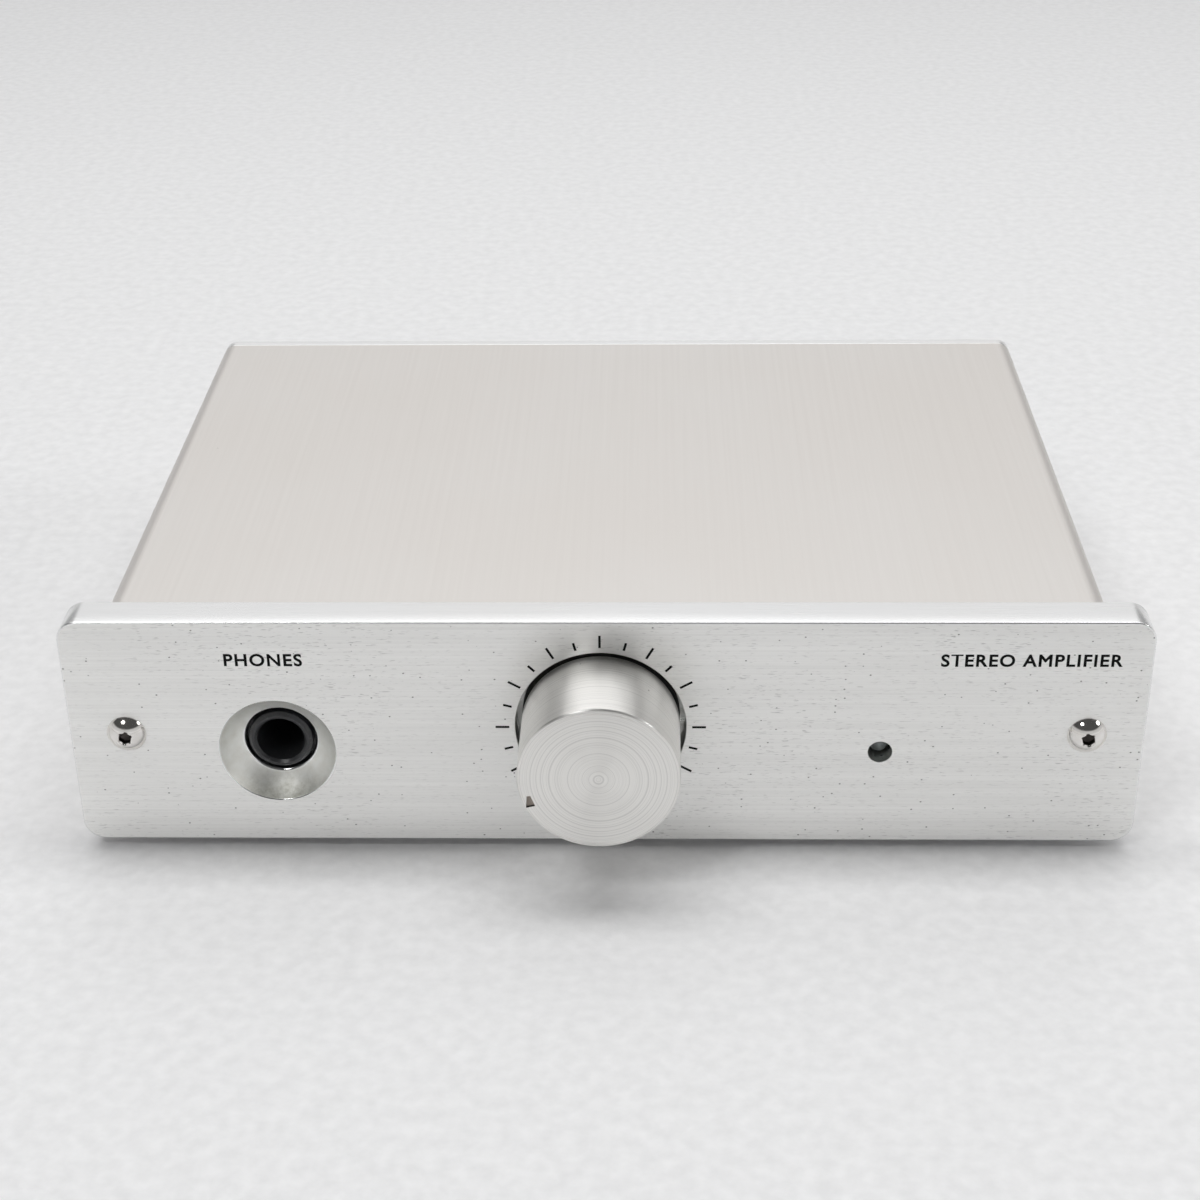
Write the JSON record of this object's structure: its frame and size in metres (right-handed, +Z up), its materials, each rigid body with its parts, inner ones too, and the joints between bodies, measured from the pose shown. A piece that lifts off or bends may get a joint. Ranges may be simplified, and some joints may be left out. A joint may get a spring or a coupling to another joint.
{
  "type": "headphone amplifier",
  "caption": "Compact desktop headphone amplifier: thick brushed front plate with a large turned volume knob, a dished headphone socket and a small lamp, on a low two-part metal case.",
  "frame": {"origin": "centre of the whole footprint, on the surface that the feet stand on", "axes": "+Z up; the front plate faces -Y, the sockets face +Y; +X is to the right as seen from the front"},
  "size_m": [0.152, 0.1352, 0.0378],
  "materials": {
    "plate_aluminium": "brushed lengthways, clear anodised",
    "case_aluminium": "satin anodised extrusion with faint lines front to back",
    "panel_aluminium": "brushed, clear anodised",
    "knob_aluminium": "turned, fine rings on the face",
    "screw_steel": "polished stainless",
    "blackened_steel": "black oxide",
    "foot_rubber": "matt",
    "plated_steel": "nickel plated",
    "plated_brass": "gold plated",
    "socket_plastic": "black moulding",
    "inlet_plastic": "black moulding",
    "lens_plastic": "smoky, unlit",
    "control_plastic": "blue moulding",
    "switch_plastic": "blue moulding",
    "white_plastic": "insulating ring",
    "red_plastic": "insulating ring",
    "board_laminate": "green solder mask",
    "can_sleeve": "shrink sleeve on an aluminium can",
    "film_case": "red box capacitors",
    "resistor_coat": "blue lacquer",
    "package_plastic": "black moulded packages",
    "black_aluminium": "black anodised",
    "lever_metal": "bright plated",
    "pale_wire": "insulated wire",
    "red_wire": "insulated wire"
  },
  "bodies": {
    "chassis": {"front_plate": "plate_aluminium", "plate_screws": "screw_steel", "top_shell": "case_aluminium", "base_shell": "case_aluminium", "rear_panel": "panel_aluminium", "rear_screws": "screw_steel", "feet": "foot_rubber", "pot_bushing": "plated_brass", "pot_washer": "plated_steel", "pot_nut": "plated_steel", "pot_body": "control_plastic", "pot_pins": "plated_steel", "jack_housing": "socket_plastic", "jack_contacts": "plated_steel", "led_lens": "lens_plastic", "led_leads": "plated_steel", "led_holder": "socket_plastic", "circuit_board": "board_laminate", "capacitors": "can_sleeve", "film_capacitors": "film_case", "resistors": "resistor_coat", "small_transistors": "package_plastic", "output_transistors": "package_plastic", "heatsinks": "black_aluminium", "regulators": "package_plastic", "input_shells": "plated_brass", "input_ring_left": "white_plastic", "input_ring_right": "red_plastic", "input_contacts": "plated_brass", "input_nuts": "plated_brass", "dc_inlet": "inlet_plastic", "dc_inlet_pin": "plated_steel", "dc_inlet_nut": "plated_steel", "switch_body": "switch_plastic", "switch_bushing": "plated_steel", "switch_nut": "plated_steel", "input_wires": "pale_wire", "power_wires": "red_wire"},
    "knob": {"volume_knob": "knob_aluminium", "knob_set_screw": "blackened_steel", "pot_shaft": "plated_steel"},
    "lever": {"switch_lever": "lever_metal"}
  },
  "joints": [
    {"name": "volume_turn", "type": "hinge", "parent": "chassis", "child": "knob", "pos_m": [-0.0005, -0.0542, 0.0209], "axis": [0, 1, 0], "range_deg": [-40, 260]},
    {"name": "power_toggle", "type": "hinge", "parent": "chassis", "child": "lever", "pos_m": [0.012, 0.0528, 0.0197], "axis": [1, 0, 0], "range_deg": [0, 20]}
  ]
}
